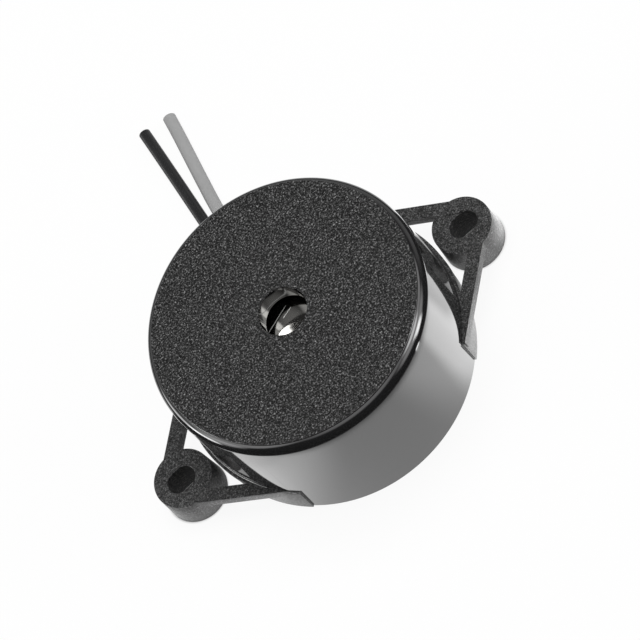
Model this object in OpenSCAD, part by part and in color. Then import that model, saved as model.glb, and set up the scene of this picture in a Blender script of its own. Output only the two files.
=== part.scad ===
// Piezo buzzer in a round case with two mounting ears and two free leads. All sizes are in millimetres.
// Z = 0 is the plane the buzzer is fixed on and the Z axis is the axis of its sound hole.
// The ears lie along X. The leads leave the case towards +Y.

/* [Case] */
// Diameter of the case just under its rounded top edge
case_d = 30; // [29.5:0.1:34]
// Height of the case over the mounting plane
case_h = 14.5; // [14:0.1:20]
// How far the wall leans outwards down to the base, on the radius
wall_draft = 0.2; // [0:0.05:0.4]
// Thickness of the wall round the diaphragm
wall_t = 1.35; // [1.2:0.05:1.6]
// Thickness of the wall over the sound chamber
top_t = 2.1; // [1.2:0.1:2.4]
// Radius of the rounded top edge
edge_r = 1.05; // [0.5:0.05:1.2]
// Height of the textured face over the polished edge round it
face_rise = 0.08; // [0.02:0.01:0.15]
// Width of the polished edge, seen from above
face_margin = 0.7; // [0.3:0.05:1]
// Diameter of the sound hole
hole_d = 5.2; // [3:0.1:8]
// Radius of the sound hole's rounded lip
lip_r = 0.28; // [0.1:0.02:0.5]

/* [Ears] */
// Distance between the centres of the two screw slots
slot_pitch = 38.7; // [38:0.1:42]
// Length of a screw slot, end to end
slot_len = 3.2; // [2.6:0.1:3.8]
// Width of a screw slot
slot_w = 2.4; // [1.8:0.1:2.6]
// How far a barrel's centre lies inside the centre of its slot
barrel_inset = 0.2; // [0:0.05:0.4]
// Diameter of the barrel round a slot, at its top
barrel_d = 6.46; // [6:0.02:7.4]
// How much a barrel widens down to the base, on the radius
barrel_draft = 0.13; // [0:0.01:0.2]
// Height of the ears over the mounting plane
ear_h = 3.85; // [3:0.05:5]
// Thickness of the bars that carry a barrel
bar_t = 1.15; // [0.8:0.05:2]
// Width of the bars
bar_w = 1.45; // [1:0.05:2]
// How far the wide-set bar of an ear stands outside the case
wide_bar_out = 0.4; // [0.2:0.05:0.6]
// How far the close-set bar of an ear lies inside the case's outline
close_bar_in = 0.17; // [0:0.01:0.4]
// How far a barrel bulges past its wide-set bar
wide_bar_bulge = 0.6; // [0.2:0.05:0.9]
// How far a barrel bulges past its close-set bar
close_bar_bulge = 0.3; // [0.1:0.05:0.9]
// Angle over which the wall is thickened, to either side of an ear
pad_angle = 43.8; // [38:0.2:50]
// How far the thickened wall stands out from the case
pad_out = 0.38; // [0.3:0.02:0.6]
// How far the thickened wall ends below the top of the ears
pad_drop = 0.02; // [0.01:0.01:0.1]
// Angle by which a bar starts inside the end of the thickened wall
bar_back = 1; // [0.5:0.5:3]
// How far the ledge between two bars stands out from the case
ledge_out = 0.55; // [0.5:0.05:1]
// Thickness of that ledge
ledge_t = 1; // [0.4:0.05:1.1]
// Radius of the fillet between ledge and wall
ledge_fillet = 0.2; // [0.1:0.02:0.22]

/* [Sounder] */
// Gap round the edge of the diaphragm
plate_gap = 0.15; // [0.05:0.05:0.3]
// Thickness of the metal diaphragm
plate_t = 0.3; // [0.1:0.05:0.4]
// Width of the seat under the diaphragm's edge
seat_w = 1.1; // [0.8:0.1:1.4]
// Height of the sound chamber in front of the diaphragm
chamber_h = 1.2; // [0.8:0.1:2]
// Bare edge of the diaphragm round the ceramic disc
ceramic_margin = 3.5; // [3:0.1:5]
// Thickness of the ceramic disc
ceramic_t = 0.2; // [0.1:0.05:0.3]
// Bare edge round the silver on the ceramic
silver_margin = 0.6; // [0.3:0.1:1]
// Thickness of the silver
silver_t = 0.05; // [0.02:0.01:0.1]
// Width of the feedback strip in the silver
strip_w = 3; // [2:0.2:4]
// Length of the feedback strip, inwards from the edge of the silver
strip_len = 4.4; // [3:0.2:5]
// Gap between the feedback strip and the rest of the silver
strip_gap = 0.5; // [0.3:0.1:0.8]
// Width of the adhesive bead behind the diaphragm's edge
bead_w = 0.75; // [0.4:0.05:1]
// Height of the joints on the back of the sounder
joint_h = 0.5; // [0.3:0.1:0.8]
// Diameter of the joints on the back of the sounder
joint_d = 1.4; // [1:0.1:1.6]

/* [Board and cover] */
// Thickness of the back cover
cover_t = 1.2; // [0.8:0.1:1.4]
// Gap round the back cover
cover_gap = 0.1; // [0.05:0.05:0.3]
// Thickness of the cover's spacer ring
ring_t = 1; // [0.8:0.1:1.4]
// Height of the space for the leads between cover and board
lead_room = 2.2; // [2.1:0.05:2.5]
// Thickness of the circuit board
board_t = 1; // [0.8:0.1:1.6]
// Gap round the circuit board
board_gap = 0.15; // [0.05:0.05:0.25]
// How far the case's inner step reaches in over the wider back of the case
step_w = 0.45; // [0.35:0.05:0.5]
// Diameter of the holes in the board
drill_d = 0.8; // [0.7:0.05:1]
// Diameter of the wires of the components
leg_d = 0.5; // [0.4:0.05:0.6]
// How far those wires stand out behind the board
leg_out = 0.9; // [0.7:0.05:1.1]
// Height of the solder joints behind the board
solder_h = 0.7; // [0.5:0.05:0.7]
// Diameter of the solder joints at the board
solder_d = 1.5; // [1.2:0.1:1.6]

/* [Components] */
// Diameter of the transistor
transistor_d = 4.6; // [4:0.1:5]
// Room between the transistor and the silver over it
transistor_room = 1.25; // [0.8:0.05:2]
// Height of the transistor over the board
transistor_lift = 0.8; // [0.5:0.1:1]
// Distance between the legs of the transistor
leg_pitch = 1.8; // [1.6:0.1:2]
// Diameter of the coil's ferrite core
coil_d = 6; // [5:0.1:6.6]
// Room between the coil's ferrite core and the silver over it
coil_room = 1.45; // [1:0.05:2]
// Diameter of the core's waist
waist_d = 2.8; // [2:0.1:3.4]
// Thickness of the core's two flanges
flange_t = 0.9; // [0.6:0.1:1.2]
// How far the winding stays inside the flanges
winding_inset = 0.35; // [0.1:0.05:0.8]
// Length of a resistor's body
resistor_l = 3.4; // [3:0.1:3.8]
// Diameter of a resistor's body
resistor_d = 1.5; // [1.2:0.1:1.7]
// Diameter of a resistor's end caps
cap_d = 1.8; // [1.7:0.05:2]
// Distance between the two legs of a resistor
resistor_pitch = 6; // [5.6:0.2:6.6]
// Diameter of the thin wires to the sounder
wire_d = 0.8; // [0.6:0.05:1]

/* [Leads] */
// Diameter of the black lead
black_d = 1.3; // [1.1:0.05:1.4]
// Diameter of the grey lead
grey_d = 1.45; // [1.2:0.05:1.45]
// Diameter of the leads' tinned ends
core_d = 0.7; // [0.5:0.05:0.9]
// Width of the notch that both leads leave by
notch_w = 3.4; // [3.2:0.1:4]
// Height of the notch
notch_h = 1.75; // [1.6:0.05:2]
// Corner radius of the notch
notch_r = 0.6; // [0.3:0.1:0.8]
// Length of the cover's slot, inwards from its edge, that the leads rise through
slot_reach = 4.6; // [4.4:0.1:6]
// Distance from a lead's insulation to the middle of its solder joint
core_len = 1.4; // [1.2:0.1:2]
// Diameter of the leads' solder joints at the board
pad_d = 2.2; // [1.8:0.1:2.4]
// How far those joints reach below the tinned ends
joint_under = 0.2; // [0.1:0.05:0.3]

/* [Hidden] */
$fn = 96;

// How far a cut runs past the face that it opens, and a rounding past the face that it runs into
over = 0.5;
blend = 0.01;

// Case, from the outside inwards
case_r = case_d / 2;
base_r = case_r + wall_draft;
edge_z = case_h - face_rise - edge_r;
face_r = case_r - face_margin;
bore_r = case_r - wall_t;
back_bore_r = bore_r + step_w;
hole_r = hole_d / 2;

// Heights of the stack, from the mounting plane upwards
board_z = cover_t + lead_room;
board_top = board_z + board_t;
chamber_top = case_h - top_t;
seat_z = chamber_top - chamber_h;
plate_z = seat_z - plate_t;
ceramic_z = plate_z - ceramic_t;
silver_z = ceramic_z - silver_t;

// Radii of what lies in the bores
plate_r = bore_r - plate_gap;
chamber_r = plate_r - seat_w;
ceramic_r = plate_r - ceramic_margin;
silver_r = ceramic_r - silver_margin;
board_r = back_bore_r - board_gap;
cover_r = back_bore_r - cover_gap;

// Ears
barrel_x = slot_pitch / 2 - barrel_inset;
barrel_r = barrel_d / 2;
wide_line = case_r + wide_bar_out;
close_line = case_r - close_bar_in;
wide_turn = bar_turn(wide_line, wide_bar_bulge);
close_turn = bar_turn(close_line, close_bar_bulge);
ledge_half = 30;

// The bars are straight and touch a circle round the case and a circle round the barrel. This is the angle
// between such a bar's square and the X axis.
function bar_turn(line, bulge) = acos((line - barrel_r + bulge) / barrel_x);

// Heights of the two tall components
transistor_h = silver_z - transistor_room - board_top - transistor_lift;
coil_h = silver_z - coil_room - board_top;

// Places on the board
transistor_at = board_r * [-0.466, -0.251];
coil_at = board_r * [0.394, -0.258];
bias_at = board_r * [-0.466, 0.115];
load_at = board_r * [-0.287, -0.616];
transistor_holes = [for (i = [-1:1]) transistor_at + [i * leg_pitch, 0]];
coil_holes = [for (i = [-1, 1]) coil_at + [i * coil_d / 3, 0]];
resistor_holes = [for (at = [bias_at, load_at], i = [-1, 1]) at + [i * resistor_pitch / 2, 0]];
plate_wire_at = board_r * [0.616, 0.33];
main_wire_at = board_r * [0.387, 0.401];
feedback_wire_at = board_r * [-0.358, 0.602];
wire_holes = [plate_wire_at, main_wire_at, feedback_wire_at];
component_holes = concat(transistor_holes, coil_holes, resistor_holes);

// Places of the three joints on the sounder, and the height of the face that each hangs from
rim_r = (ceramic_r + plate_r - bead_w) / 2;
plate_joint = [rim_r * cos(28), rim_r * sin(28), plate_z];
main_joint = [3.6, 2.6, silver_z];
feedback_joint = [0, silver_r - strip_len / 2, silver_z];

// Routes of the two leads, from the solder joint out through the notch to the cut end. Inside the case Y is a
// share of the radius of its foot, and outside it counts from there.
black_inside = [[-1.5, 0.395, 2.3], [-1.5, 0.493, 2.3], [-1.3, 0.592, 2.15], [-1.05, 0.684, 1.7],
                [-0.9, 0.77, 1.15], [-0.8, 0.855, 0.77], [-0.77, 0.934, 0.66]];
black_outside = [[-0.76, 0.2, 0.65], [-0.74, 2.3, 0.65], [-0.66, 4.8, 0.65], [-0.48, 7.3, 0.65],
                 [-0.22, 9.8, 0.65], [0.05, 12.3, 0.65], [0.32, 14.8, 0.65], [0.58, 17.3, 0.65],
                 [0.84, 19.8, 0.65], [1.14, 22.8, 0.65]];
grey_inside = [[1.5, 0.395, 2.35], [1.5, 0.493, 2.35], [1.3, 0.592, 2.2], [1.05, 0.684, 1.76],
               [0.9, 0.77, 1.22], [0.81, 0.855, 0.84], [0.78, 0.934, 0.735]];
grey_outside = [[0.77, 0.2, 0.725], [0.83, 2.3, 0.725], [1.02, 4.8, 0.725], [1.37, 7.3, 0.725],
                [1.79, 9.8, 0.725], [2.29, 12.3, 0.725], [2.81, 14.8, 0.725], [3.34, 17.3, 0.725],
                [3.86, 19.8, 0.725], [4.3, 22.1, 0.725]];
black_route = lead_route(black_inside, black_outside);
grey_route = lead_route(grey_inside, grey_outside);
lead_sides = 8;
wire_rings = 10;

// Straight length at either end of a thin wire
wire_end = 0.3;

function lead_route(inside, outside) =
    concat([for (p = inside) [p.x, base_r * p.y, p.z]], [for (p = outside) [p.x, base_r + p.y, p.z]]);

function unit(v) = v / norm(v);
function tangent(path, i) = unit(path[min(i + 1, len(path) - 1)] - path[max(i - 1, 0)]);

// Points of the ring of a tube at point i of its path. The ring's first side is set off from the given
// direction, which must not lie along the path.
function ring(path, i, r, sides, up) =
    let (along = tangent(path, i),
         across = unit(cross(along, up)),
         over_it = cross(across, along))
    [for (k = [0:sides - 1])
        let (a = (k + 0.5) * 360 / sides)
        path[i] + r * (cos(a) * across + sin(a) * over_it)];

// Points of a smooth curve between two straight ends that run along Z
function rise(from, to, n) =
    let (reach = (to.z - from.z) * 0.45,
         p = [from + [0, 0, wire_end], from + [0, 0, reach], to - [0, 0, reach], to - [0, 0, wire_end]])
    [from,
     for (i = [0:n - 1])
        let (t = i / (n - 1), s = 1 - t)
        s * s * s * p[0] + 3 * s * s * t * p[1] + 3 * s * t * t * p[2] + t * t * t * p[3],
     to];

// Tube swept along a path, closed at both ends
module tube(path, d, up = [0, 0, 1], sides = lead_sides) {
    rings = len(path);
    points = [for (i = [0:rings - 1]) each ring(path, i, d / 2, sides, up)];
    skin = [for (i = [0:rings - 2], k = [0:sides - 1])
        [i * sides + k, i * sides + (k + 1) % sides, (i + 1) * sides + (k + 1) % sides, (i + 1) * sides + k]];
    start = [for (k = [sides - 1:-1:0]) k];
    end = [for (k = [0:sides - 1]) (rings - 1) * sides + k];
    polyhedron(points = points, faces = concat(skin, [start, end]), convexity = 4);
}

// Half section of the case's outside: leaning wall, rounded edge and raised face
module case_section() {
    polygon([[0, 0], [base_r, 0], [case_r, edge_z], [0, edge_z]]);
    translate([case_r - edge_r, edge_z])
        circle(r = edge_r);
    square([case_r - edge_r, edge_z + edge_r]);
    square([face_r, case_h]);
}

// Half section of everything that is hollow: back, element bore, sound chamber and sound hole with its lip
module hollow_section() {
    translate([0, -over])
        square([back_bore_r, board_top + over]);
    square([bore_r, seat_z]);
    square([chamber_r, chamber_top]);
    square([hole_r, case_h + over]);
    difference() {
        translate([hole_r - over, case_h - lip_r])
            square([over + lip_r, lip_r + over]);
        translate([hole_r + lip_r - blend, case_h - lip_r + blend])
            circle(r = lip_r);
    }
}

// Thickened wall below the ears, from pad_angle to pad_angle
module pads() {
    for (turn = [0, 180])
        rotate(turn - pad_angle)
            rotate_extrude(angle = 2 * pad_angle)
                translate([back_bore_r + step_w, 0])
                    square([case_r + pad_out - back_bore_r - step_w, ear_h - pad_drop]);
}

// Ledge between the bars of an ear, with the fillet that runs up to the wall
module ledges() {
    wall_r = case_r + wall_draft * (1 - ear_h / edge_z);
    for (turn = [0, 180])
        rotate(turn - ledge_half)
            rotate_extrude(angle = 2 * ledge_half) {
                translate([back_bore_r + step_w, ear_h - ledge_t])
                    square([case_r + ledge_out - back_bore_r - step_w, ledge_t]);
                difference() {
                    translate([wall_r - ledge_fillet, ear_h - ledge_fillet])
                        square(2 * ledge_fillet);
                    translate([wall_r + ledge_fillet - blend, ear_h + ledge_fillet - blend])
                        circle(r = ledge_fillet);
                }
            }
}

// Straight bar from the thickened wall to its barrel, on the +Y side of the right ear
module bar(line, turn) {
    lean = turn - pad_angle + bar_back;
    inner = line - bar_w;
    reach = barrel_x * sin(turn);
    translate([0, 0, ear_h - bar_t])
        rotate(turn)
            linear_extrude(bar_t)
                polygon([[inner, -inner * tan(lean)], [line, -line * tan(lean)], [line, -reach],
                         [inner, -reach]]);
}

// Bars and barrel of the right ear
module ear() {
    bar(close_line, close_turn);
    mirror([0, 1, 0])
        bar(wide_line, wide_turn);
    translate([barrel_x, 0, 0])
        cylinder(h = ear_h, r1 = barrel_r + barrel_draft, r2 = barrel_r);
}

// Screw slot of the right ear
module screw_slot() {
    run = slot_len - slot_w;
    translate([slot_pitch / 2, 0, -over]) {
        for (side = [-1, 1])
            translate([side * run / 2, 0, 0])
                cylinder(h = ear_h + 2 * over, d = slot_w);
        translate([-run / 2, -slot_w / 2, 0])
            cube([run, slot_w, ear_h + 2 * over]);
    }
}

// Notch in the foot of the wall, with rounded upper corners
module notch() {
    flat = notch_w / 2 - notch_r;
    translate([0, back_bore_r - 2 * over, 0])
        rotate([90, 0, 180])
            linear_extrude(base_r - back_bore_r + 4 * over) {
                translate([-notch_w / 2, -over])
                    square([notch_w, notch_h - notch_r + over]);
                translate([-flat, 0])
                    square([2 * flat, notch_h]);
                for (side = [-1, 1])
                    translate([side * flat, notch_h - notch_r])
                        circle(r = notch_r);
            }
}

module case() {
    color("#1b1b1d")
        difference() {
            union() {
                rotate_extrude()
                    case_section();
                pads();
                ledges();
                for (turn = [0, 180])
                    rotate(turn)
                        ear();
            }
            rotate_extrude()
                hollow_section();
            for (turn = [0, 180])
                rotate(turn)
                    screw_slot();
            notch();
        }
}

// Cover plate with the spacer ring that holds the board against the case's step
module back_cover() {
    color("#222224")
        difference() {
            union() {
                cylinder(h = cover_t, r = cover_r);
                cylinder(h = board_z, r = board_r);
            }
            translate([0, 0, cover_t])
                cylinder(h = board_z, r = board_r - ring_t);
            translate([-notch_w / 2, cover_r - slot_reach, -over])
                cube([notch_w, slot_reach + over, board_z + 2 * over]);
        }
}

module diaphragm() {
    color("#b9b7ae")
        translate([0, 0, plate_z])
            cylinder(h = plate_t, r = plate_r);
}

module ceramic_disc() {
    color("#d8cfb8")
        translate([0, 0, ceramic_z])
            cylinder(h = ceramic_t, r = ceramic_r);
}

// Outline of the feedback strip, grown all round by a margin
module strip_outline(margin) {
    translate([-strip_w / 2 - margin, silver_r - strip_len - margin])
        square([strip_w + 2 * margin, strip_len + 2 * margin + over]);
}

module main_electrode() {
    color("#cfd1d3")
        translate([0, 0, silver_z])
            linear_extrude(silver_t)
                difference() {
                    circle(r = silver_r);
                    strip_outline(strip_gap);
                }
}

module feedback_electrode() {
    color("#cfd1d3")
        translate([0, 0, silver_z])
            linear_extrude(silver_t)
                intersection() {
                    circle(r = silver_r);
                    strip_outline(0);
                }
}

// Bead in the corner between the diaphragm's back and the bore
module diaphragm_bead() {
    color("#e6e1cf")
        rotate_extrude()
            polygon([[bore_r, plate_z], [bore_r - bead_w, plate_z], [bore_r, plate_z - bead_w]]);
}

module circuit_board() {
    color("#2f6b3a")
        translate([0, 0, board_z])
            difference() {
                cylinder(h = board_t, r = board_r);
                for (at = concat(component_holes, wire_holes))
                    translate([at.x, at.y, -over])
                        cylinder(h = board_t + 2 * over, d = drill_d, $fn = 24);
            }
}

// Half-round transistor, its flat face towards -Y
module transistor() {
    color("#202020")
        translate([transistor_at.x, transistor_at.y, board_top + transistor_lift])
            difference() {
                cylinder(h = transistor_h, d = transistor_d);
                translate([-transistor_d, -transistor_d - transistor_d * 0.28, -over])
                    cube([2 * transistor_d, transistor_d, transistor_h + 2 * over]);
            }
}

// Straight wire through the board, up to a height over it
module leg(at, top) {
    translate([at.x, at.y, board_z - leg_out])
        cylinder(h = leg_out + board_t + top, d = leg_d, $fn = 24);
}

module transistor_legs() {
    color("silver")
        for (at = transistor_holes)
            leg(at, transistor_lift);
}

module coil_core() {
    waist_r = waist_d / 2;
    color("#4a4a4c")
        translate([coil_at.x, coil_at.y, board_top])
            rotate_extrude()
                union() {
                    square([waist_r, coil_h]);
                    square([coil_d / 2, flange_t]);
                    translate([0, coil_h - flange_t])
                        square([coil_d / 2, flange_t]);
                }
}

module coil_winding() {
    color("#a8552a")
        translate([coil_at.x, coil_at.y, board_top + flange_t])
            difference() {
                cylinder(h = coil_h - 2 * flange_t, r = coil_d / 2 - winding_inset);
                translate([0, 0, -over])
                    cylinder(h = coil_h, d = waist_d);
            }
}

module coil_pins() {
    color("silver")
        for (at = coil_holes)
            leg(at, 0);
}

// Resistor body with its two end caps, lying along X on the board
module resistor(at, tint) {
    cap_l = resistor_l / 4;
    color(tint)
        translate([at.x - resistor_l / 2, at.y, board_top + cap_d / 2])
            rotate([0, 90, 0])
                union() {
                    cylinder(h = resistor_l, d = resistor_d, $fn = 48);
                    for (z = [0, resistor_l - cap_l])
                        translate([0, 0, z])
                            cylinder(h = cap_l, d = cap_d, $fn = 48);
                }
}

module bias_resistor() {
    resistor(bias_at, "#c9b48a");
}

module load_resistor() {
    resistor(load_at, "#8fb0c4");
}

// Wires that leave a resistor along X and turn down through the board
module resistor_legs() {
    bend = cap_d / 2;
    color("silver")
        for (at = [bias_at, load_at], side = [0, 180])
            translate([at.x, at.y, board_top + bend])
                rotate(side) {
                    translate([resistor_l / 2, 0, 0])
                        rotate([0, 90, 0])
                            cylinder(h = resistor_pitch / 2 - bend - resistor_l / 2, d = leg_d, $fn = 24);
                    translate([resistor_pitch / 2 - bend, 0, -bend])
                        rotate([90, 0, 0])
                            rotate_extrude(angle = 90)
                                translate([bend, 0])
                                    circle(d = leg_d, $fn = 24);
                    translate([resistor_pitch / 2, 0, -bend - board_t - leg_out])
                        cylinder(h = board_t + leg_out, d = leg_d, $fn = 24);
                }
}

// Thin insulated wire from the board to the face of a joint on the sounder
module sounder_wire(at, joint) {
    tube(rise([at.x, at.y, board_top], joint - [0, 0, joint_h], wire_rings), wire_d, up = [1, 0, 0]);
}

module plate_wire() {
    color("#e8e8e4")
        sounder_wire(plate_wire_at, plate_joint);
}

module main_wire() {
    color("#b3261e")
        sounder_wire(main_wire_at, main_joint);
}

module feedback_wire() {
    color("#2b5fa8")
        sounder_wire(feedback_wire_at, feedback_joint);
}

// Solder joints that hang from the back of the sounder
module element_joints() {
    color("#d5d7d9")
        for (joint = [plate_joint, main_joint, feedback_joint])
            translate(joint - [0, 0, joint_h])
                cylinder(h = joint_h, d1 = joint_d * 0.75, d2 = joint_d, $fn = 48);
}

// Solder joints behind the board, round each wire that comes through it
module board_joints() {
    color("#d5d7d9") {
        for (at = component_holes)
            translate([at.x, at.y, board_z - solder_h])
                difference() {
                    cylinder(h = solder_h, d1 = leg_d + 0.2, d2 = solder_d, $fn = 24);
                    translate([0, 0, -over])
                        cylinder(h = solder_h + 2 * over, d = leg_d, $fn = 24);
                }
        for (at = wire_holes)
            translate([at.x, at.y, board_z - solder_h]) {
                cylinder(h = solder_h, d1 = leg_d + 0.2, d2 = solder_d, $fn = 24);
                cylinder(h = solder_h + board_t, d = leg_d, $fn = 24);
            }
    }
}

module black_lead() {
    color("#262628")
        tube(black_route, black_d);
}

module grey_lead() {
    color("#a6a6a4")
        tube(grey_route, grey_d);
}

// Tinned end of each lead, run into its joint on the board
module lead_joints() {
    color("#d5d7d9")
        for (from = [black_route[0], grey_route[0]]) {
            drop = board_z - from.z + core_d / 2 + joint_under;
            translate([from.x, from.y - core_len, board_z - drop])
                cylinder(h = drop, d1 = core_d * 1.8, d2 = pad_d, $fn = 48);
            translate([from.x, from.y, from.z])
                rotate([90, 0, 0])
                    cylinder(h = core_len, d = core_d, $fn = 48);
        }
}

case();
back_cover();
diaphragm();
ceramic_disc();
main_electrode();
feedback_electrode();
diaphragm_bead();
circuit_board();
transistor();
transistor_legs();
coil_core();
coil_winding();
coil_pins();
bias_resistor();
load_resistor();
resistor_legs();
plate_wire();
main_wire();
feedback_wire();
element_joints();
board_joints();
black_lead();
grey_lead();
lead_joints();
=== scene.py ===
from math import acos, cos, degrees, hypot, radians, sin, tan

import bmesh
import bpy
from mathutils import Matrix, Vector


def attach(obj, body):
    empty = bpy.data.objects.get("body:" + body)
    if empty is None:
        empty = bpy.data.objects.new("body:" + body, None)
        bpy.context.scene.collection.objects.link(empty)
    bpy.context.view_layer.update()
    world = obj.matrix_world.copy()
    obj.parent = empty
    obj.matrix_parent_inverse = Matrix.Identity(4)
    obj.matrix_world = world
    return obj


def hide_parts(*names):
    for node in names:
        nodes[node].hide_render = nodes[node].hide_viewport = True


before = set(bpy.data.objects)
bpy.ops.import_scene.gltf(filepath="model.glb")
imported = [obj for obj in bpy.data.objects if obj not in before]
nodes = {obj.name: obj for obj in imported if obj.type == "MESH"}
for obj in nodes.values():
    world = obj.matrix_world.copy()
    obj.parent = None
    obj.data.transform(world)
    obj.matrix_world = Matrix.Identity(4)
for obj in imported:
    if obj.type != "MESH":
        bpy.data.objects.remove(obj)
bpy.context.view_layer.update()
mm = 0.001                                          # shapes are drawn in millimetres and scaled at the end
merge = 1e-5                                        # points closer than this, in millimetres, become one


# camera, at the spot the photograph was taken from

camera = {"spot": (0.007706, -0.189490, 0.306001), "target": (0.001923, 0.005454, 0.0), "roll": -43.619,
          "lens": 197.184, "sensor": 36, "clip": (0.01, 20)}


def placeCamera():
    data = bpy.data.cameras.new("camera")
    data.lens, data.sensor_width = camera["lens"], camera["sensor"]
    data.clip_start, data.clip_end = camera["clip"]
    holder = bpy.data.objects.new("camera", data)
    bpy.context.scene.collection.objects.link(holder)
    spot, target = Vector(camera["spot"]), Vector(camera["target"])
    facing = (target - spot).to_track_quat("-Z", "Y").to_matrix()
    turn = facing @ Matrix.Rotation(radians(camera["roll"]), 3, "Z")
    holder.matrix_world = Matrix.Translation(spot) @ turn.to_4x4()
    bpy.context.scene.camera = holder


placeCamera()
print("camera placed")


# shader building

class Value:                                        # one output of a shader node, ready for arithmetic
    def __init__(self, finish, socket):
        self.finish, self.socket = finish, socket

    def __add__(self, other):
        return self.finish.math("ADD", self, other)

    def __sub__(self, other):
        return self.finish.math("SUBTRACT", self, other)

    def __rsub__(self, other):
        return self.finish.math("SUBTRACT", other, self)

    def __mul__(self, other):
        return self.finish.math("MULTIPLY", self, other)

    def __abs__(self):
        return self.finish.math("ABSOLUTE", self)

    __radd__ = __add__
    __rmul__ = __mul__

    def out(self, name):                            # another output of the same node
        return Value(self.finish, self.socket.node.outputs[name])


class Finish:                                       # one material, or the world, and the nodes in it
    def __init__(self, name, world=None):
        self.owner = world or bpy.data.materials.new(name)
        self.owner.use_nodes = True
        self.tree = self.owner.node_tree
        self.tree.nodes.clear()

    def add(self, kind, settings=None, inputs=None, out=0):
        node = self.tree.nodes.new(kind)
        for key, value in (settings or {}).items():
            if key == "stops":                      # a ramp's (place, grey) pairs
                ends = node.color_ramp.elements
                while len(ends) < len(value):
                    ends.new(0.5)
                for end, (place, grey) in zip(ends, value):
                    end.position, end.color = place, (grey, grey, grey, 1)
            else:
                setattr(node, key, value)
        for key, value in (inputs or {}).items():
            if isinstance(value, Value):
                self.tree.links.new(value.socket, node.inputs[key])
            else:
                node.inputs[key].default_value = value
        return Value(self, node.outputs[out])

    def math(self, operation, *values):
        return self.add("ShaderNodeMath", {"operation": operation}, dict(enumerate(values)))

    def place(self):
        return self.add("ShaderNodeTexCoord", out="Object")

    def noise(self, scale, detail=2.0, rough=0.5, at=None):
        inputs = {"Vector": at or self.place(), "Scale": scale, "Detail": detail, "Roughness": rough}
        return self.add("ShaderNodeTexNoise", None, inputs, "Fac")

    def stretched(self, at, scale, turn=0):         # a pattern's place, stretched and turned about Z
        inputs = {"Vector": at, "Rotation": (0, 0, radians(turn)), "Scale": scale}
        return self.add("ShaderNodeMapping", None, inputs)

    def ramp(self, fac, *stops):
        return self.add("ShaderNodeValToRGB", {"stops": stops}, {0: fac})

    def blend(self, fac, first, second):            # two colours, from first at 0 to second at 1
        first, second = ((*c, 1) if isinstance(c, tuple) else c for c in (first, second))
        return self.add("ShaderNodeMix", {"data_type": "RGBA"}, {0: fac, 6: first, 7: second}, 2)

    def bump(self, height, depth, strength=1.0):    # depth in metres
        return self.add("ShaderNodeBump", None, {"Height": height, "Distance": depth, "Strength": strength})

    def surface(self, **sockets):
        names = {"colour": "Base Color", "roughness": "Roughness", "metallic": "Metallic", "ior": "IOR",
                 "coat": "Coat Weight", "coatRoughness": "Coat Roughness", "coatIor": "Coat IOR",
                 "normal": "Normal"}
        inputs = {names[key]: value for key, value in sockets.items()}
        return self.finishWith(self.add("ShaderNodeBsdfPrincipled", None, inputs))

    def finishWith(self, shader, output="ShaderNodeOutputMaterial"):
        out = self.tree.nodes.new(output)
        self.tree.links.new(shader.socket, out.inputs["Surface"])
        return self.owner

    def rise(self, value, low, high):               # 0 at low, 1 at high, smooth between
        return self.add("ShaderNodeMapRange", {"interpolation_type": "SMOOTHSTEP"},
                        {0: value, 1: low, 2: high, 3: 0.0, 4: 1.0})

    def soft(self, value, none, full):              # the same between two lengths in millimetres
        return self.rise(value, none * mm, full * mm)

    def parts(self, vector):
        node = self.add("ShaderNodeSeparateXYZ", None, {0: vector})
        return node, node.out("Y"), node.out("Z")

    def measure(self, operation, *vectors):         # a number from one or two vectors
        return self.add("ShaderNodeVectorMath", {"operation": operation}, dict(enumerate(vectors)), "Value")

    def reach(self, x, y):
        return self.measure("LENGTH", self.add("ShaderNodeCombineXYZ", None, {0: x, 1: y}))


# finishes of the case; every pattern is so many to a metre

caseLook = {
    "black": ((0.006, 0.006, 0.0063), (0.010, 0.010, 0.0105)),
    # polished wall and hole: least roughness and the spread above it
    "swirl": 260, "swirlDepth": 0.00002, "haze": 900, "polish": (0.06, 0.04),
    "wallIor": 2.0, "holeIor": 2.4,
    # textured face and ears: the grey that each height of the grain gives
    "grain": 5600, "greys": ((0.29, 0.001), (0.425, 0.006), (0.52, 0.026), (0.605, 0.10), (0.705, 0.33)),
    "earGrain": 7400, "earGreys": ((0.29, 0.004), (0.42, 0.016), (0.52, 0.045), (0.61, 0.11), (0.71, 0.24)),
    "fine": 10500, "fineShare": 0.25, "grainDepth": 0.00015,
    # satin sides and inside: a grain, and the level marks of the mould's tools
    "sideGrain": 4200, "sideGreys": ((0.38, 0.002), (0.49, 0.012), (0.57, 0.06), (0.68, 0.26)),
    "marks": 1100, "marksShare": 0.35, "marksFlat": 5, "sideDepth": 0.0004}


def polishedFinish(name, ior):
    finish = Finish(name)
    swirl = finish.noise(caseLook["swirl"], 2, 0.45)
    haze = finish.noise(caseLook["haze"], 3, 0.6)
    least, spread = caseLook["polish"]
    return finish.surface(colour=finish.blend(haze, *caseLook["black"]), roughness=haze * spread + least,
                          ior=ior, coat=1.0, coatRoughness=0.04, coatIor=1.55,
                          normal=finish.bump(swirl, caseLook["swirlDepth"], 0.4))


def texturedFinish(name, scale, greys):             # spark-eroded mould face: tiny pits and peaks
    finish = Finish(name)
    at = finish.place()
    grain = finish.noise(scale, 2, 0.6, at)
    fine = finish.noise(caseLook["fine"], 1, 0.5, at)
    height = grain * (1 - caseLook["fineShare"]) + fine * caseLook["fineShare"]
    return finish.surface(colour=finish.ramp(height, *greys), roughness=0.66 - height * 0.2, ior=1.38,
                          normal=finish.bump(height, caseLook["grainDepth"], 0.6))


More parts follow.
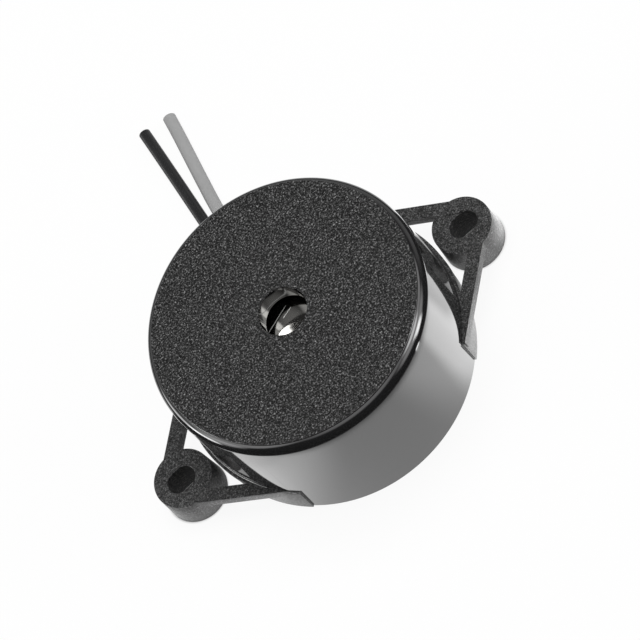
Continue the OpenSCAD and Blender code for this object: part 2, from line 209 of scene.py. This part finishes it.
def satinFinish():
    finish = Finish("satinPlastic")
    at = finish.place()
    marks = finish.noise(caseLook["marks"], 3, 0.6, finish.stretched(at, (1, 1, caseLook["marksFlat"])))
    grain = finish.noise(caseLook["sideGrain"], 3, 0.65, at)
    height = marks * caseLook["marksShare"] + grain * (1 - caseLook["marksShare"])
    return finish.surface(colour=finish.ramp(grain, *caseLook["sideGreys"]), roughness=grain * 0.3 + 0.2,
                          ior=2.0, coat=0.4, coatRoughness=0.25, coatIor=1.5,
                          normal=finish.bump(height, caseLook["sideDepth"], 0.6))


# drawing and joining shapes

class Outline:                                      # a half section drawn in the XZ plane, in millimetres
    def __init__(self, r, z):
        self.bm = bmesh.new()
        self.first = self.last = self.bm.verts.new((r, 0, z))

    def line(self, *points):
        for r, z in points:
            self.last = bmesh.ops.extrude_vert_indiv(self.bm, verts=[self.last])["verts"][0]
            self.last.co = (r, 0, z)
        return self

    def arc(self, r, z, angle, steps):              # swings the last point round (r, z)
        made = bmesh.ops.spin(self.bm, geom=[self.last], cent=(r, 0, z), axis=(0, -1, 0),
                              angle=radians(angle), steps=steps)
        self.last = [g for g in made["geom_last"] if isinstance(g, bmesh.types.BMVert)][0]
        return self

    def turned(self, start=0, angle=360, steps=256):
        self.bm.edges.new((self.last, self.first))
        bmesh.ops.remove_doubles(self.bm, verts=self.bm.verts, dist=merge)
        turnAbout(self.bm, start)
        bmesh.ops.spin(self.bm, geom=self.bm.verts[:] + self.bm.edges[:], cent=(0, 0, 0), axis=(0, 0, 1),
                       angle=radians(angle), steps=steps, use_merge=angle == 360)
        if angle < 360:
            bmesh.ops.holes_fill(self.bm, edges=self.bm.edges, sides=0)
        bmesh.ops.remove_doubles(self.bm, verts=self.bm.verts, dist=merge)
        return self.bm


def turnAbout(bm, angle):                           # about Z, in degrees
    bmesh.ops.rotate(bm, verts=bm.verts, cent=(0, 0, 0), matrix=Matrix.Rotation(radians(angle), 3, "Z"))


def asObject(name, bm):
    bmesh.ops.recalc_face_normals(bm, faces=bm.faces)
    mesh = bpy.data.meshes.new(name)
    bm.to_mesh(mesh)
    bm.free()
    piece = bpy.data.objects.new(name, mesh)
    bpy.context.scene.collection.objects.link(piece)
    return piece


def combine(piece, other, operation):
    step = piece.modifiers.new("combine", "BOOLEAN")
    step.operation, step.object, step.solver = operation, other, "EXACT"
    bpy.context.view_layer.update()
    mesh = bpy.data.meshes.new_from_object(piece.evaluated_get(bpy.context.evaluated_depsgraph_get()))
    piece.modifiers.clear()
    piece.data = mesh
    bpy.data.objects.remove(other)
    return piece


def finishPiece(piece, materials, node, sharp=32):
    piece.data.transform(Matrix.Scale(mm, 4))
    for material in materials:
        piece.data.materials.append(material)
    piece.data.shade_smooth()
    piece.data.set_sharp_from_angle(angle=radians(sharp))
    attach(piece, "root")
    if node:
        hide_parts(node)
    return piece


# case: one moulding with its rounded edge, sound hole and two slotted ears

case = {
    "baseRadius": 15.2, "wallRadius": 15.0, "height": 14.5, "edgeRadius": 1.05,
    "faceRadius": 14.3, "faceRise": 0.08, "faceBreak": 0.07, "holeRadius": 2.6, "lip": 0.12,
    "chamberTop": 12.4, "chamberRadius": 12.4, "seat": 11.2, "boreRadius": 13.65, "step": 4.4,
    "backRadius": 14.1,
    "notchAt": 14.8, "notchDepth": 3, "notchWidth": 3.4, "notchHeight": 1.75, "notchCorner": 0.6}
ear = {
    "height": 3.85, "barrelAt": 19.15, "barrelRadius": 3.23, "barrelDraft": 0.13,
    "barThickness": 1.15, "barWidth": 1.45, "wideLine": 15.4, "wideBulge": 0.6,
    "closeLine": 14.83, "closeBulge": 0.3,
    "padAngle": 43.8, "padRadius": 15.38, "padTaper": 0.35, "padTop": 15.2, "padDrop": 0.02,
    "ledgeRadius": 15.55, "ledgeThickness": 1.0, "ledgeAngle": 30, "ledgeFillet": 0.2, "inner": 14.55,
    "slotAt": 19.35, "slotWidth": 2.4, "slotLength": 3.2, "slotSides": 64, "slotCut": 12,
    "edgeBreak": 0.12, "slotBreak": 0.18}
edgeHeight = case["height"] - case["faceRise"] - case["edgeRadius"]         # where the straight wall ends


def caseBody():
    centre = case["wallRadius"] - case["edgeRadius"]
    sweep = degrees(acos((case["faceRadius"] - centre) / case["edgeRadius"]))    # to the raised face
    pen = Outline(case["baseRadius"], 0)
    pen.line((case["wallRadius"], edgeHeight)).arc(centre, edgeHeight, sweep, 12)
    pen.line((case["faceRadius"], case["height"] - case["faceBreak"]))
    pen.arc(case["faceRadius"] - case["faceBreak"], case["height"] - case["faceBreak"], 90, 4)
    pen.line((case["holeRadius"] + case["lip"], case["height"]))
    pen.arc(case["holeRadius"] + case["lip"], case["height"] - case["lip"], 90, 8)
    pen.line((case["holeRadius"], case["chamberTop"]), (case["chamberRadius"], case["chamberTop"]))
    pen.line((case["chamberRadius"], case["seat"]), (case["boreRadius"], case["seat"]))
    pen.line((case["boreRadius"], case["step"]), (case["backRadius"], case["step"]))
    pen.line((case["backRadius"], 0))
    return asObject("caseMoulding", pen.turned(steps=288))


def block(corners, low, high):                      # upright solid over a few corners
    bm = bmesh.new()
    face = bm.faces.new([bm.verts.new((x, y, low)) for x, y in corners])
    grown = bmesh.ops.extrude_face_region(bm, geom=[face])["geom"]
    raised = [g for g in grown if isinstance(g, bmesh.types.BMVert)]
    bmesh.ops.translate(bm, verts=raised, vec=(0, 0, high - low))
    return bm


def bar(line, bulge, side):                         # touches the barrel and runs past the wall
    turn = degrees(acos((line - ear["barrelRadius"] + bulge) / ear["barrelAt"]))
    lean = tan(radians(turn - ear["padAngle"] + 1))
    inner, far = line - ear["barWidth"], ear["barrelAt"] * sin(radians(turn))
    bm = block([(inner, -inner * lean), (line, -line * lean), (line, -far), (inner, -far)],
               ear["height"] - ear["barThickness"], ear["height"])
    turnAbout(bm, turn)
    if side < 0:
        bmesh.ops.scale(bm, verts=bm.verts, vec=(1, -1, 1))
    return asObject("bar", bm)


def roundEdges(piece, offset, wanted):              # bevels the convex edges that the test picks
    bm, level, sharp = bmesh.new(), radians(0.3), radians(35)
    bm.from_mesh(piece.data)
    bmesh.ops.remove_doubles(bm, verts=bm.verts, dist=merge * 10)
    bmesh.ops.dissolve_limit(bm, angle_limit=level, verts=bm.verts, edges=bm.edges)
    bmesh.ops.recalc_face_normals(bm, faces=bm.faces)
    edges = [e for e in bm.edges if e.is_manifold and e.is_convex and e.calc_face_angle(0) > sharp]
    bmesh.ops.bevel(bm, geom=[e for e in edges if wanted(e)], offset=offset, offset_type="OFFSET",
                    segments=3, profile=0.5, affect="EDGES", clamp_overlap=True, material=-1)
    bm.to_mesh(piece.data)
    bm.free()
    return piece


def slotCutter():
    bm, r = bmesh.new(), ear["slotWidth"] / 2
    bmesh.ops.create_cone(bm, cap_ends=True, segments=ear["slotSides"], radius1=r, radius2=r,
                          depth=ear["slotCut"])
    turnAbout(bm, 180 / ear["slotSides"])           # no point on the line where it is pulled long
    for side in (-1, 1):
        half = [v for v in bm.verts if v.co.x * side > 0]
        bmesh.ops.translate(bm, verts=half, vec=((ear["slotLength"] / 2 - r) * side, 0, 0))
    bmesh.ops.translate(bm, verts=bm.verts, vec=(ear["slotAt"], 0, 0))
    return asObject("slotCutter", bm)


def onEarTop(edge):                                 # outside the thickened wall, which keeps its edge
    low, near = ear["height"] - 0.03, ear["padTop"] + 0.1
    return all(v.co.z > low and v.co.xy.length > near for v in edge.verts)


def onSlot(edge):                                   # both within the slot's size and a little more
    spare = 0.05
    wide, long = ear["slotWidth"] / 2 + spare, ear["slotLength"] / 2 + spare
    return all(abs(v.co.y) < wide and abs(v.co.x - ear["slotAt"]) < long for v in edge.verts)


def oneEar():
    top = ear["height"]
    bm = bmesh.new()
    bmesh.ops.create_cone(bm, cap_ends=True, segments=128, radius1=ear["barrelRadius"] + ear["barrelDraft"],
                          radius2=ear["barrelRadius"], depth=top)
    bmesh.ops.translate(bm, verts=bm.verts, vec=(ear["barrelAt"], 0, top / 2))
    piece = asObject("ear", bm)
    combine(piece, bar(ear["closeLine"], ear["closeBulge"], 1), "UNION")
    combine(piece, bar(ear["wideLine"], ear["wideBulge"], -1), "UNION")
    padTop = top - ear["padDrop"]
    pad = Outline(ear["inner"], 0).line((ear["padRadius"], 0), (ear["padRadius"], top - ear["padTaper"]))
    pad.line((ear["padTop"], padTop), (ear["inner"], padTop))
    combine(piece, asObject("pad", pad.turned(-ear["padAngle"], 2 * ear["padAngle"], 48)), "UNION")
    low = top - ear["ledgeThickness"]
    ledge = Outline(ear["inner"], low).line((ear["ledgeRadius"], low), (ear["ledgeRadius"], top))
    ledge.line((ear["inner"], top))
    combine(piece, asObject("ledge", ledge.turned(-ear["ledgeAngle"], 2 * ear["ledgeAngle"], 40)), "UNION")
    combine(piece, slotCutter(), "DIFFERENCE")
    roundEdges(piece, ear["edgeBreak"], lambda edge: onEarTop(edge) and not onSlot(edge))
    roundEdges(piece, ear["slotBreak"], lambda edge: onEarTop(edge) and onSlot(edge))
    return piece


def ledgeFillet():
    top, r = ear["height"], ear["ledgeFillet"]
    wall = case["wallRadius"] + (case["baseRadius"] - case["wallRadius"]) * (1 - top / edgeHeight)
    inside, below = wall - 0.3, top - 0.2           # sunk into the wall and the ledge, to join them well
    pen = Outline(inside, below).line((wall + r, below), (wall + r, top))
    pen.arc(wall + r, top + r, -90, 6).line((inside, top + r))
    return asObject("fillet", pen.turned(-ear["ledgeAngle"], 2 * ear["ledgeAngle"], 40))


def notchCutter():
    bm, height, below = bmesh.new(), case["notchHeight"], 1
    bmesh.ops.create_cube(bm, size=1)
    bmesh.ops.scale(bm, verts=bm.verts, vec=(case["notchWidth"], case["notchDepth"], height + below))
    bmesh.ops.translate(bm, verts=bm.verts, vec=(0, case["notchAt"], (height - below) / 2))
    upper = [e for e in bm.edges if all(v.co.z > height / 2 for v in e.verts)]
    upper = [e for e in upper if abs(e.verts[0].co.x - e.verts[1].co.x) < merge]
    bmesh.ops.bevel(bm, geom=upper, offset=case["notchCorner"], offset_type="OFFSET", segments=10,
                    profile=0.5, affect="EDGES", material=-1)
    return asObject("notchCutter", bm)


def finishOf(face):                                 # name of the finish that a face of the case has
    x, y, z = face.center
    r, up, spare = hypot(x, y), face.normal.z, 0.1
    byHole = r < case["holeRadius"] + case["lip"] + spare
    onLip = byHole and z > case["height"] - case["lip"]
    if onLip or (up > 0.98 and z > case["height"] - spare / 2):
        return "texturedPlastic"
    if up > 0.9 and abs(z - ear["height"]) < spare / 2:
        return "texturedEars"
    if byHole and z > case["chamberTop"] - spare:
        return "polishedHole"
    if r < case["backRadius"] + spare and z < edgeHeight:
        return "satinPlastic"
    onEdge = case["faceRadius"] - case["faceBreak"] - spare < r < case["baseRadius"] + spare
    onWall = case["wallRadius"] - spare < r < case["baseRadius"] + spare / 2
    polished = (onEdge and z > ear["height"] + 0.03) or (onWall and abs(up) < 0.1)
    return "polishedPlastic" if polished else "satinPlastic"


def buildCase():
    body = caseBody()
    print("case turned:", len(body.data.polygons), "faces")
    for turn in (0, 180):
        for make in (oneEar, ledgeFillet):
            part = make()
            part.data.transform(Matrix.Rotation(radians(turn), 4, "Z"))
            combine(body, part, "UNION")
    combine(body, notchCutter(), "DIFFERENCE")
    materials = [polishedFinish("polishedPlastic", caseLook["wallIor"]),
                 texturedFinish("texturedPlastic", caseLook["grain"], caseLook["greys"]), satinFinish(),
                 polishedFinish("polishedHole", caseLook["holeIor"]),
                 texturedFinish("texturedEars", caseLook["earGrain"], caseLook["earGreys"])]
    names = [material.name for material in materials]
    for face in body.data.polygons:
        face.material_index = names.index(finishOf(face))
    print("case joined:", len(body.data.polygons), "faces")
    return finishPiece(body, materials, "case")


buildCase()
print("case made")


# leads: two short cords with their cut ends

blackLead = {
    "diameter": 1.3, "exit": (-0.76, 15.2, 0.65),
    "low": (0.014, 0.014, 0.0145), "high": (0.026, 0.026, 0.027),
    "inside": [(-1.5, 6.004, 2.3), (-1.5, 7.494, 2.3), (-1.3, 8.998, 2.15), (-1.05, 10.397, 1.7),
               (-0.9, 11.704, 1.15), (-0.8, 12.996, 0.77), (-0.77, 14.197, 0.66)],
    "outside": [(-0.76, 15.4, 0.65), (-0.74, 17.5, 0.65), (-0.66, 20, 0.65), (-0.48, 22.5, 0.65),
                (-0.22, 25, 0.65), (0.05, 27.5, 0.65), (0.32, 30, 0.65), (0.58, 32.5, 0.65),
                (0.84, 35, 0.65), (1.14, 38, 0.65)]}
greyLead = {
    "diameter": 1.45, "exit": (0.77, 15.2, 0.725),
    "low": (0.28, 0.28, 0.28), "high": (0.33, 0.33, 0.33),
    "inside": [(1.5, 6.004, 2.35), (1.5, 7.494, 2.35), (1.3, 8.998, 2.2), (1.05, 10.397, 1.76),
               (0.9, 11.704, 1.22), (0.81, 12.996, 0.84), (0.78, 14.197, 0.735)],
    "outside": [(0.77, 15.4, 0.725), (0.83, 17.5, 0.725), (1.02, 20, 0.725), (1.37, 22.5, 0.725),
                (1.79, 25, 0.725), (2.29, 27.5, 0.725), (2.81, 30, 0.725), (3.34, 32.5, 0.725),
                (3.86, 35, 0.725), (4.3, 37.3, 0.725)]}
# the strands' ends: one in the middle of a ring, and how far they stand out of the sleeve
strand = {"inRing": 6, "ring": 0.24, "radius": 0.115, "length": 0.5, "proud": 0.09, "sleeveShort": 0.1,
          "low": (0.42, 0.16, 0.07), "high": (0.62, 0.30, 0.16), "tarnish": 2600}
sleeve = {"cloud": 350, "pores": 3200, "depth": 0.00002, "steps": 6, "round": 8}


def sleeveFinish(name, lead):
    finish = Finish(name)
    at = finish.place()
    cloud = finish.noise(sleeve["cloud"], 3, 0.55, at)
    pores = finish.noise(sleeve["pores"], 2, 0.5, at)
    shade = finish.blend(cloud, lead["low"], lead["high"])
    return finish.surface(colour=shade, roughness=pores * 0.1 + 0.2, ior=1.55,
                          normal=finish.bump(pores * 0.5 + cloud * 0.5, sleeve["depth"], 0.5))


def strandFinish():
    finish = Finish("copperStrands")
    tarnish = finish.noise(strand["tarnish"], 2, 0.5)
    shade = finish.blend(tarnish, strand["low"], strand["high"])
    return finish.surface(colour=shade, metallic=1.0, roughness=tarnish * 0.2 + 0.25)


def makeStrands(name, end, along, material):        # end and along: the sleeve's end and which way it points
    bm = bmesh.new()
    ring = [(strand["ring"] * cos(radians(a)), strand["ring"] * sin(radians(a)), 0)
            for a in range(0, 360, 360 // strand["inRing"])]
    for spot in [(0, 0, 0)] + ring:
        made = bmesh.ops.create_cone(bm, cap_ends=True, segments=12, radius1=strand["radius"],
                                     radius2=strand["radius"], depth=strand["length"])
        bmesh.ops.translate(bm, verts=made["verts"], vec=spot)
    turn = Vector((0, 0, 1)).rotation_difference(along).to_matrix()
    bmesh.ops.rotate(bm, verts=bm.verts, cent=(0, 0, 0), matrix=turn)
    bmesh.ops.translate(bm, verts=bm.verts, vec=end / mm + along * (strand["proud"] - strand["length"] / 2))
    return finishPiece(asObject(name, bm), [material], None)


def makeLead(name, node, lead, strands):
    points = [Vector(p) * mm for p in lead["inside"] + lead["outside"]]
    along = (points[-1] - points[-2]).normalized()
    points[-1] -= along * strand["sleeveShort"] * mm
    data = bpy.data.curves.new(name, "CURVE")
    data.dimensions = "3D"
    line = data.splines.new("BEZIER")
    line.bezier_points.add(len(points) - 1)
    for knot, point in zip(line.bezier_points, points):
        knot.co = point
        knot.handle_left_type = knot.handle_right_type = "AUTO"
    line.resolution_u = sleeve["steps"]
    data.bevel_depth, data.bevel_resolution = lead["diameter"] / 2 * mm, sleeve["round"]
    data.use_fill_caps = True
    piece = bpy.data.objects.new(name, data)
    bpy.context.scene.collection.objects.link(piece)
    piece.data.materials.append(sleeveFinish(name + "Sleeve", lead))
    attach(piece, "root")
    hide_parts(node)
    core = makeStrands(name + "Strands", points[-1], along, strands)
    length = sum((b - a).length for a, b in zip(points, points[1:]))
    print(name, "length", round(length / mm, 2), "mm")


strands = strandFinish()
makeLead("blackLead", "black_lead", blackLead, strands)
makeLead("greyLead", "grey_lead", greyLead, strands)


# finishes of the CAD nodes that stay

plate = {
    "low": (0.46, 0.45, 0.43), "high": (0.60, 0.59, 0.56),
    "rolling": -19.4, "rolled": (120, 9000, 1), "stain": 420,
    # the dish's curvature to a metre, its radius in millimetres and how softly it ends
    "dishAt": (-1.19, -1.94, 11.2), "dish": 61, "dishRadius": 2.4, "dishSoft": 0.4,
    # pale lines painted as the glints seen through the sound hole: start, end and width in millimetres,
    # strength
    "paintedGlint": (0.9, 0.9, 0.88),
    "paintedGlints": [((-2.67, 1.25), (0.51, 2.33), 0.11, 0.8), ((-0.5, 1.43), (0.83, 1.79), 0.13, 1.0),
                  ((-1.55, 1.05), (-0.94, 1.19), 0.09, 0.3), ((0.24, -0.85), (1.36, -0.26), 0.09, 0.3)]}


def paintedGlint(finish, at, start, end, width):         # 1 along the middle of a painted glint line, 0 beside it
    start, end = (Vector((*p, 0)) * mm for p in (start, end))
    along = (end - start).normalized()
    run = finish.measure("DOT_PRODUCT", at, tuple(along)) - start.dot(along)
    off = finish.measure("DOT_PRODUCT", at, (-along.y, along.x, 0)) - (start.y * along.x - start.x * along.y)
    half = (end - start).length / 2
    return finish.math("COMPARE", run, half, half) * finish.soft(abs(off), width / 2, 0.0)


def plateFinish():                                  # bright rolled plate, dished a little at its middle
    finish = Finish("rolledPlate")
    at = finish.place()
    lines = finish.noise(1.0, 2, 0.5, finish.stretched(at, plate["rolled"], plate["rolling"]))
    stain = finish.noise(plate["stain"], 3, 0.5, at)
    away = finish.measure("DISTANCE", at, tuple(c * mm for c in plate["dishAt"]))
    fall = plate["dish"] / 2 * (plate["dishRadius"] * mm) ** 2
    dish = finish.math("SMOOTH_MIN", away * away * (plate["dish"] / 2), fall, fall * plate["dishSoft"])
    marks = 0.0
    # painted glints: pale, unmetallic lines that look bright under any light
    for start, end, width, strength in plate["paintedGlints"]:
        marks = paintedGlint(finish, at, start, end, width) * strength + marks
    metal = finish.blend(stain * 0.5 + lines * 0.5, plate["low"], plate["high"])
    return finish.surface(colour=finish.blend(marks, metal, plate["paintedGlint"]), metallic=1 - marks,
                          roughness=stain * 0.06 + marks * 0.3 + 0.07, normal=finish.bump(dish, 1.0))


def plainFinish(name, low, high, roughness, grain=1800, depth=0.00002, metallic=0.0):
    finish = Finish(name)
    at = finish.place()
    cloud = finish.noise(grain / 6, 2, 0.5, at)
    fine = finish.noise(grain, 3, 0.55, at)
    shade = finish.blend(cloud * 0.6 + fine * 0.4, low, high)
    return finish.surface(colour=shade, metallic=metallic, ior=1.5, roughness=fine * 0.15 + roughness,
                          normal=finish.bump(fine, depth, 0.5))


coil = {"low": (0.22, 0.07, 0.03), "high": (0.60, 0.24, 0.10), "turns": 1500.0, "turnDepth": 0.00008}


def coilFinish():                                   # turns of enamelled wire stacked along Z, with painted shade darkening the grooves between them
    finish = Finish("wireTurns")
    inputs = {"Vector": finish.place(), "Scale": coil["turns"], "Distortion": 0.6, "Detail": 1.0}
    turns = finish.add("ShaderNodeTexWave", {"wave_type": "BANDS", "bands_direction": "Z"}, inputs, "Fac")
    return finish.surface(colour=finish.blend(turns, coil["low"], coil["high"]), metallic=0.6,
                          roughness=turns * 0.1 + 0.25, normal=finish.bump(turns, coil["turnDepth"], 0.8))


def dressNodes():
    tinned = plainFinish("tinnedWire", (0.55, 0.55, 0.56), (0.72, 0.72, 0.73), 0.22, 2500, 0.00001, 1.0)
    solder = plainFinish("solder", (0.52, 0.52, 0.54), (0.70, 0.70, 0.72), 0.25, 1800, 0.00003, 1.0)
    silver = plainFinish("printedSilver", (0.60, 0.60, 0.61), (0.75, 0.75, 0.76), 0.45, 3500, 0.00001, 1.0)
    cover = plainFinish("coverPlastic", (0.018, 0.018, 0.019), (0.034, 0.034, 0.036), 0.42, 3600, 0.00003)
    dress = {
        "back_cover": cover, "diaphragm": plateFinish(),
        "ceramic_disc": plainFinish("firedCeramic", (0.62, 0.56, 0.43), (0.74, 0.69, 0.55), 0.5, 2200),
        "main_electrode": silver, "feedback_electrode": silver,
        "diaphragm_bead": plainFinish("curedSilicone", (0.70, 0.67, 0.56), (0.82, 0.80, 0.70), 0.38, 900),
        "circuit_board": plainFinish("solderResist", (0.015, 0.10, 0.035), (0.03, 0.17, 0.06), 0.3, 1600),
        "transistor": plainFinish("mouldedEpoxy", (0.012, 0.012, 0.012), (0.03, 0.03, 0.03), 0.4, 3000),
        "transistor_legs": tinned, "coil_pins": tinned, "resistor_legs": tinned,
        "coil_core": plainFinish("sinteredFerrite", (0.045, 0.045, 0.05), (0.09, 0.09, 0.095), 0.45, 2400),
        "coil_winding": coilFinish(),
        "bias_resistor": plainFinish("tanCoating", (0.45, 0.33, 0.18), (0.58, 0.45, 0.27), 0.3, 900),
        "load_resistor": plainFinish("blueCoating", (0.14, 0.30, 0.44), (0.24, 0.42, 0.56), 0.3, 900),
        "plate_wire": plainFinish("whiteSleeve", (0.66, 0.66, 0.63), (0.78, 0.78, 0.75), 0.35, 1500),
        "main_wire": plainFinish("redSleeve", (0.36, 0.02, 0.015), (0.50, 0.04, 0.03), 0.35, 1500),
        "feedback_wire": plainFinish("blueSleeve", (0.02, 0.09, 0.30), (0.04, 0.15, 0.44), 0.35, 1500),
        "element_joints": solder, "board_joints": solder, "lead_joints": solder,
    }
    for name, material in dress.items():
        nodes[name].data.materials.clear()
        nodes[name].data.materials.append(material)


dressNodes()
print("nodes dressed")


# floor, and the light and shade painted on it for the gloss alone: a glow laid out by place, a painted
# reflection of a lit floor
# a soft edge is a pair in millimetres: where there is nothing of it, and where all

floor = {
    "size": 1500, "low": (0.78, 0.78, 0.78), "high": (0.80, 0.80, 0.80), "clouds": 30, "glow": 0.92,
    "front": 0.7, "side": 2.6,                      # levels of the painted light before and beside the object
    # round edge of the painted light and its faint tail, narrower across, and how it runs far back
    "lit": (24.8, 23.4), "tail": (31, 24), "tailShare": 0.14, "narrow": 1.08,
    "grows": (5, 30), "growth": 40, "behind": (9, 20), "behindLevel": 0.45,
    # at the ears: their middles, their feet, the ring of painted light round them, and the painted shade
    # between their bars
    "earAt": 19.2, "foot": (3.2, 3.6), "underFoot": 0.06, "ring": (7, 5),
    "barsFrom": (14.8, 15.4), "barsTo": (18.3, 17.5), "barsAside": (6, 4.5), "barsShade": 0.7,
    # shares of the side level: to the left, fading under the ear, and to the right, beyond a slanting edge;
    # then a painted shade in front of the right ear and a painted bright rim beyond it
    "left": (8, 17), "leftShare": 0.2, "leftFades": (17.5, 19), "leftFade": 0.25,
    "right": (4, 12), "rightNear": 0.2, "rightFar": 0.58,
    "edgeAt": (13.2, -14.6), "edgeTurn": -24, "edge": (-1.5, 1.5),
    "shadeFrom": (15, 17.5), "shadeTo": (22.3, 21), "shadeBack": (-10, -7), "shade": 0.6,
    "rimFrom": (21.2, 22.6), "rimBack": (-8, -5), "rimShare": 0.85,
    # a painted bright strip beyond the painted light, shown by the gloss as a highlight: its direction,
    # where it starts and ends, and its half width
    "stripTurn": -49.2, "stripFrom": (23.2, 24.2), "stripTo": (32, 27), "stripHalf": (1.4, 0.6),
    "stripLevel": 3.6}


# painted light on the floor for the gloss, held off under the ears and dimmed as painted shade between their
# bars
def paintedLightPart(finish, x, y, fromEar, clear):
    away = finish.reach(x * floor["narrow"], y) - finish.soft(y, *floor["grows"]) * (floor["growth"] * mm)
    lit = finish.soft(away, *floor["lit"]) * (1 - floor["tailShare"])
    lit = lit + finish.soft(away, *floor["tail"]) * floor["tailShare"]
    lit = finish.math("MAXIMUM", lit, finish.soft(fromEar, *floor["ring"]))
    bars = finish.soft(abs(x), *floor["barsFrom"]) * finish.soft(abs(x), *floor["barsTo"])
    bars = bars * finish.soft(abs(y), *floor["barsAside"])
    return lit * (1 - bars * floor["barsShade"]) * (clear * (1 - floor["underFoot"]) + floor["underFoot"])


# how bright the painted light is: brighter to the sides, dimmer behind, with painted shade in front of the
# right ear
def paintedLightLevel(finish, x, y):
    left = finish.soft(x * -1, *floor["left"]) * floor["leftShare"]
    left = left * (1 - finish.soft(x * -1, *floor["leftFades"]) * floor["leftFade"])
    turn, (atX, atY) = radians(floor["edgeTurn"]), floor["edgeAt"]
    beyond = finish.soft((x - atX * mm) * -sin(turn) + (y - atY * mm) * cos(turn), *floor["edge"])
    shade = finish.soft(x, *floor["shadeFrom"]) * finish.soft(x, *floor["shadeTo"])
    shade = shade * finish.soft(y, *floor["shadeBack"]) * floor["shade"]
    right = finish.soft(x, *floor["right"]) * (1 - shade)
    right = right * (beyond * (floor["rightFar"] - floor["rightNear"]) + floor["rightNear"])
    rim = finish.soft(x, *floor["rimFrom"]) * finish.soft(y, *floor["rimBack"])
    right = right + rim * (floor["rimShare"] - floor["rightFar"])
    behind = finish.soft(y, *floor["behind"])
    sides = (left + right) * (1 - behind) * (floor["side"] - floor["front"])
    return sides - behind * (floor["front"] - floor["behindLevel"]) + floor["front"]


def paintedStripPart(finish, x, y):
    turn = radians(floor["stripTurn"])
    along, aside = x * cos(turn) + y * sin(turn), y * cos(turn) - x * sin(turn)
    shape = finish.soft(along, *floor["stripFrom"]) * finish.soft(along, *floor["stripTo"])
    return shape * finish.soft(abs(aside), *floor["stripHalf"])


def makeFloor():
    bm = bmesh.new()
    bmesh.ops.create_grid(bm, x_segments=1, y_segments=1, size=floor["size"])
    piece = asObject("floor", bm)
    piece.data.transform(Matrix.Scale(mm, 4))
    finish = Finish("paleFloor")
    x, y = finish.parts(finish.place())[:2]
    fromEar = finish.reach(abs(x) - floor["earAt"] * mm, y)
    clear = finish.soft(fromEar, *floor["foot"])    # no glow under the ears: the camera sees their real shadow there, and the gloss a painted one
    lit, dark = paintedLightPart(finish, x, y, fromEar, clear), studio["front"]
    # the floor as the gloss sees it: a painted reflection of lit and shaded floor, with a painted bright
    # strip
    paintedReflection = lit * (paintedLightLevel(finish, x, y) - dark) + dark
    paintedReflection = paintedReflection + paintedStripPart(finish, x, y) * (floor["stripLevel"] - paintedReflection)

    def glow(shade):
        return finish.add("ShaderNodeEmission", None, {"Color": shade, "Strength": 1.0})

    def mix(factor, first, second):
        return finish.add("ShaderNodeMixShader", None, {0: factor, 1: first, 2: second})

    shade = finish.blend(finish.noise(floor["clouds"], 3, 0.5), floor["low"], floor["high"])
    matt = finish.add("ShaderNodeBsdfDiffuse", None, {"Color": shade})
    ray = finish.add("ShaderNodeLightPath")
    white = ray.out("Is Camera Ray") * clear * floor["glow"] + ray.out("Is Transmission Ray")
    shown = mix(white, matt, glow((1, 1, 1, 1)))
    piece.data.materials.append(finish.finishWith(mix(ray.out("Is Glossy Ray"), shown, glow(paintedReflection))))


# studio

studio = {
    "back": 0.28, "front": 0.03, "backFrom": (-0.2, 0.35), "backTop": (0.35, 0.7),
    # each softbox: azimuth, elevation, angles at which it is full and gone, strength
    "boxes": [(-33, 4, 3, 9, 2.4), (-33, 15, 4, 9, 4.5), (-33, 27, 4, 9, 3.5), (-33, 32, 10, 28, 1.0),
              (-24, 57, 4, 11, 2.7), (6, 53, 4, 16, 0.9), (166, 5, 4, 12, 4.5), (150, 5, 5, 16, 2.2),
              (172, 25, 6, 16, 1.0), (165, 50, 12, 26, 0.9), (-90, 76, 8, 34, 0.6),
              (92.7, 69, 1.2, 4.2, 6.0)],
    "lampAt": (0.10, 0.16, 0.75), "lampSize": 0.5, "lampPower": 4.8}


def makeLamp():                                     # soft light from overhead, unseen in the gloss
    data = bpy.data.lights.new("overheadLamp", "AREA")
    data.shape, data.size, data.energy = "SQUARE", studio["lampSize"], studio["lampPower"]
    holder = bpy.data.objects.new("overheadLamp", data)
    bpy.context.scene.collection.objects.link(holder)
    spot = Vector(studio["lampAt"])
    holder.matrix_world = Matrix.Translation(spot) @ (-spot).to_track_quat("-Z", "Y").to_matrix().to_4x4()
    holder.visible_glossy = False


def towards(azimuth, elevation):
    a, e = radians(azimuth), radians(elevation)
    return (cos(a) * cos(e), sin(a) * cos(e), sin(e))


def makeSky():                                      # a dim tent with softboxes round the object
    world = bpy.data.worlds.new("studio")
    bpy.context.scene.world = world
    sky = Finish("studio", world)
    way = sky.add("ShaderNodeTexCoord", out="Generated")
    way = sky.add("ShaderNodeVectorMath", {"operation": "NORMALIZE"}, {0: way}, "Vector")
    y, z = sky.parts(way)[1:]
    light = sky.rise(y, *studio["backFrom"]) * (1 - sky.rise(z, *studio["backTop"]))
    light = light * (studio["back"] - studio["front"]) + studio["front"]
    for azimuth, elevation, full, gone, strength in studio["boxes"]:
        facing = sky.measure("DOT_PRODUCT", way, towards(azimuth, elevation))
        light = light + sky.rise(facing, cos(radians(gone)), cos(radians(full))) * strength
    shade = sky.add("ShaderNodeCombineColor", None, {0: light, 1: light, 2: light})
    background = sky.add("ShaderNodeBackground", None, {"Color": shade, "Strength": 1.0})
    sky.finishWith(background, "ShaderNodeOutputWorld")


makeFloor()
makeLamp()
makeSky()

bpy.context.scene.view_settings.view_transform = "Standard"
print("studio lit")
